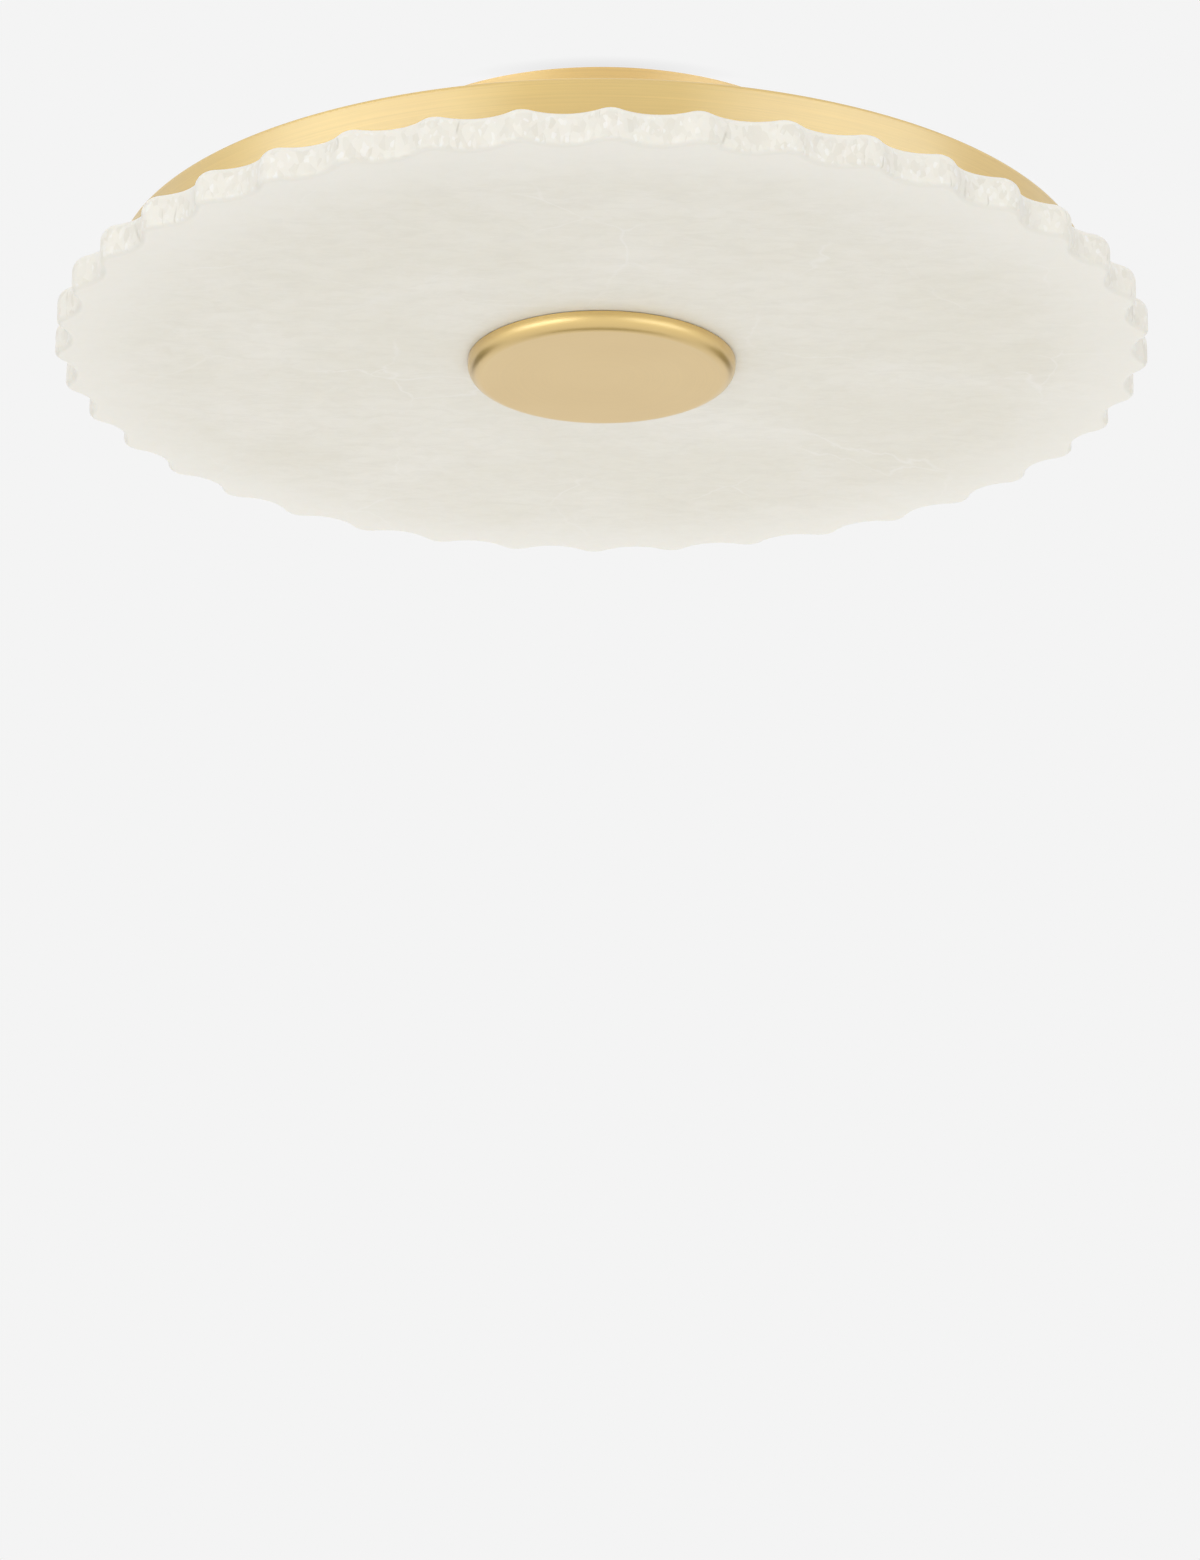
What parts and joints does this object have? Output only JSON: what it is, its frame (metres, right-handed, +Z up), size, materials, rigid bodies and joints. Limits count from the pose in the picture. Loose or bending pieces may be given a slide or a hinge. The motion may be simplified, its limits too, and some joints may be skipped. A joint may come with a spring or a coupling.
{
  "type": "flush mount ceiling light",
  "caption": "Flush ceiling light: a fluted alabaster disc under a shallow brass pan and a round canopy, held by a brass cap that screws onto a hollow rod.",
  "frame": {"origin": "on the ceiling, at the middle of the crossbar's top face and of its two slots", "axes": "+Z up into the ceiling, +X along the crossbar, -Y towards the picture's camera"},
  "size_m": [0.4572, 0.4572, 0.0987],
  "materials": {
    "alabaster": "honed alabaster, cloudy, with faint veins",
    "brushed_brass": "satin brushed brass, lacquered",
    "turned_brass": "turned brass, bright",
    "zinc_plated_steel": "bright zinc plate",
    "green_ground_screw": "green dyed plating",
    "clear_silicone": "clear silicone",
    "white_silicone": "moulded white silicone",
    "natural_nylon": "moulded natural nylon",
    "white_coated_aluminium": "white powder coat",
    "thermal_silicone": "filled silicone sheet",
    "white_circuit_board": "white solder mask on aluminium",
    "led_phosphor": "yellow phosphor in a white package",
    "white_abs": "moulded, fine texture",
    "green_circuit_board": "green solder mask",
    "taped_transformer": "ferrite core under yellow tape",
    "capacitor_sleeve": "black shrink sleeve",
    "grey_polyamide": "moulded grey polyamide",
    "black_rubber": "moulded black rubber",
    "red_insulation": "extruded red insulation",
    "black_insulation": "extruded black insulation"
  },
  "bodies": {
    "fixture": {"canopy": "brushed_brass", "pan": "brushed_brass", "thumb_nuts": "turned_brass", "mounting_crossbar": "zinc_plated_steel", "crossbar_studs": "zinc_plated_steel", "stud_lock_nuts": "zinc_plated_steel", "stud_washers": "zinc_plated_steel", "center_rod": "zinc_plated_steel", "rod_top_nut": "zinc_plated_steel", "rod_top_washer": "zinc_plated_steel", "rod_clamp_nut": "zinc_plated_steel", "rod_clamp_washer": "zinc_plated_steel", "height_nut": "zinc_plated_steel", "backing_washer": "zinc_plated_steel", "clamp_screws": "zinc_plated_steel", "clamp_nuts": "zinc_plated_steel", "board_screws": "zinc_plated_steel", "ground_screw": "green_ground_screw", "disc_bumpers": "clear_silicone", "upper_gasket": "white_silicone", "reflector_plate": "white_coated_aluminium", "thermal_pad": "thermal_silicone", "led_board": "white_circuit_board", "led_chips": "led_phosphor", "driver_case": "white_abs", "driver_lid": "white_abs", "board_connector": "white_abs", "driver_circuit": "green_circuit_board", "driver_transformer": "taped_transformer", "driver_capacitors": "capacitor_sleeve", "mains_terminal_block": "grey_polyamide", "wire_grommet": "black_rubber", "led_lead_positive": "red_insulation", "led_lead_negative": "black_insulation"},
    "disc": {"alabaster_disc": "alabaster", "centering_bush": "natural_nylon", "cap_gasket": "white_silicone"},
    "cap": {"cap_shell": "brushed_brass", "cap_hub": "turned_brass"}
  },
  "joints": [
    {"name": "disc_lower", "type": "slide", "parent": "fixture", "child": "disc", "axis": [0, 0, -1], "range_m": [0, 0.008]},
    {"name": "cap_turn", "type": "hinge", "parent": "disc", "child": "cap", "pos_m": [0, 0, -0.08855], "axis": [0, 0, -1], "range_deg": [0, 2880]}
  ],
  "couplings": [
    {"joint": "cap_turn", "follows": "disc_lower", "rad_per_m": 6283.2}
  ]
}
